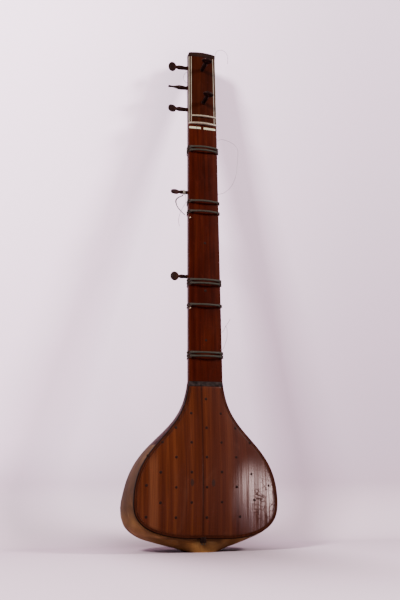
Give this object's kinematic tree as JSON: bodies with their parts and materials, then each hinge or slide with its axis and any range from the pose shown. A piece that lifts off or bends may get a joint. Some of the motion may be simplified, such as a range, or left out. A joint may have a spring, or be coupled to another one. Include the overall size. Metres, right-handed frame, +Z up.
{
  "type": "surbahar",
  "caption": "Large bass lute with a flattened gourd body, domed wooden soundboard, long hollow neck, arched tied frets and flat-headed tuning pegs, with broken string ends.",
  "frame": {"origin": "middle of the flat spot under the gourd, on which the instrument stands", "axes": "+Z up along the neck, -Y out of the soundboard towards the player's hand, +X to the right of someone who looks at the face"},
  "size_m": [0.389, 0.2495, 1.3315],
  "materials": {
    "gourd": "semi-gloss, tan brown dried gourd",
    "neck_wood": "glossy dark maroon varnish",
    "board_wood": "worn reddish brown varnish",
    "plain_wood": "bare wood",
    "binding": "dark brown varnish",
    "ebony": "satin, nearly black",
    "bone": "yellowed bone",
    "aged_bone": "grey-brown old bone",
    "fret_brass": "dull grey-green tarnish",
    "tie_thread": "dark waxed thread",
    "steel_wire": "dull steel string"
  },
  "bodies": {
    "instrument": {"chikari_post_lower": "bone", "chikari_post_upper": "bone", "gourd_shell": "gourd", "head_cap": "ebony", "head_corner_stripe_left": "aged_bone", "head_corner_stripe_right": "aged_bone", "head_plate": "neck_wood", "head_stripe_left": "aged_bone", "head_stripe_right": "aged_bone", "inlay_left": "bone", "inlay_middle": "bone", "inlay_right": "bone", "joint_band": "ebony", "neck_plate": "neck_wood", "neck_trough": "neck_wood", "nut": "bone", "shoulder": "neck_wood", "soundboard_binding": "binding", "soundboard_brace": "plain_wood", "soundboard_left": "board_wood", "soundboard_right": "board_wood", "string_guide": "bone", "tail_block": "plain_wood", "tail_hitch": "ebony", "wire_head_left": "steel_wire", "wire_head_right": "steel_wire", "wire_loop_right": "steel_wire", "wire_low_back": "steel_wire", "wire_low_front": "steel_wire"},
    "fret_1_lower": {"fret_1_lower": "fret_brass", "tie_1_lower": "tie_thread"},
    "fret_1_upper": {"fret_1_upper": "fret_brass", "tie_1_upper": "tie_thread"},
    "fret_2": {"fret_2": "fret_brass", "tie_2": "tie_thread"},
    "fret_3": {"fret_3": "fret_brass", "tie_3": "tie_thread"},
    "fret_4_lower": {"fret_4_lower": "fret_brass", "tie_4_lower": "tie_thread"},
    "fret_4_upper": {"fret_4_upper": "fret_brass", "tie_4_upper": "tie_thread"},
    "fret_5": {"fret_5": "fret_brass", "tie_5": "tie_thread"},
    "fret_6_lower": {"fret_6_lower": "fret_brass", "tie_6_lower": "tie_thread"},
    "fret_6_upper": {"fret_6_upper": "fret_brass", "tie_6_upper": "tie_thread"},
    "peg_chikari_lower": {"peg_chikari_lower": "ebony"},
    "peg_chikari_upper": {"peg_chikari_upper": "ebony", "chikari_string_winding": "steel_wire", "chikari_string_tail": "steel_wire", "chikari_string_strand": "steel_wire"},
    "peg_front_lower": {"peg_front_lower": "ebony"},
    "peg_front_upper": {"peg_front_upper": "ebony"},
    "peg_side_lower": {"peg_side_lower": "ebony"},
    "peg_side_middle": {"peg_side_middle": "ebony"},
    "peg_side_upper": {"peg_side_upper": "ebony"}
  },
  "joints": [
    {"name": "fret_1_lower_slide", "type": "slide", "parent": "instrument", "child": "fret_1_lower", "axis": [0, 0, 1], "range_m": [-0.008, 0]},
    {"name": "fret_1_upper_slide", "type": "slide", "parent": "instrument", "child": "fret_1_upper", "axis": [0, 0, 1], "range_m": [0, 0.008]},
    {"name": "fret_2_slide", "type": "slide", "parent": "instrument", "child": "fret_2", "axis": [0, 0, 1], "range_m": [-0.008, 0.008]},
    {"name": "fret_3_slide", "type": "slide", "parent": "instrument", "child": "fret_3", "axis": [0, 0, 1], "range_m": [-0.008, 0.008]},
    {"name": "fret_4_lower_slide", "type": "slide", "parent": "instrument", "child": "fret_4_lower", "axis": [0, 0, 1], "range_m": [-0.008, 0]},
    {"name": "fret_4_upper_slide", "type": "slide", "parent": "instrument", "child": "fret_4_upper", "axis": [0, 0, 1], "range_m": [0, 0.004]},
    {"name": "fret_5_slide", "type": "slide", "parent": "instrument", "child": "fret_5", "axis": [0, 0, 1], "range_m": [-0.003, 0.008]},
    {"name": "fret_6_lower_slide", "type": "slide", "parent": "instrument", "child": "fret_6_lower", "axis": [0, 0, 1], "range_m": [-0.008, 0]},
    {"name": "fret_6_upper_slide", "type": "slide", "parent": "instrument", "child": "fret_6_upper", "axis": [0, 0, 1], "range_m": [0, 0.008]},
    {"name": "peg_chikari_lower_turn", "type": "hinge", "parent": "instrument", "child": "peg_chikari_lower", "pos_m": [-0.04124, -0.036, 0.67291], "axis": [-1, 0, 0], "continuous": true},
    {"name": "peg_chikari_upper_turn", "type": "hinge", "parent": "instrument", "child": "peg_chikari_upper", "pos_m": [-0.03959, -0.036, 0.90102], "axis": [-1, 0, 0], "continuous": true},
    {"name": "peg_front_lower_turn", "type": "hinge", "parent": "instrument", "child": "peg_front_lower", "pos_m": [0.0016, -0.058, 1.1523], "axis": [0, -1, 0], "continuous": true},
    {"name": "peg_front_upper_turn", "type": "hinge", "parent": "instrument", "child": "peg_front_upper", "pos_m": [-0.001, -0.058, 1.2488], "axis": [0, -1, 0], "continuous": true},
    {"name": "peg_side_lower_turn", "type": "hinge", "parent": "instrument", "child": "peg_side_lower", "pos_m": [-0.03788, -0.036, 1.1377], "axis": [-1, 0, 0], "continuous": true},
    {"name": "peg_side_middle_turn", "type": "hinge", "parent": "instrument", "child": "peg_side_middle", "pos_m": [-0.03741, -0.036, 1.2013], "axis": [-1, 0, 0], "continuous": true},
    {"name": "peg_side_upper_turn", "type": "hinge", "parent": "instrument", "child": "peg_side_upper", "pos_m": [-0.03698, -0.036, 1.2608], "axis": [-1, 0, 0], "continuous": true}
  ]
}
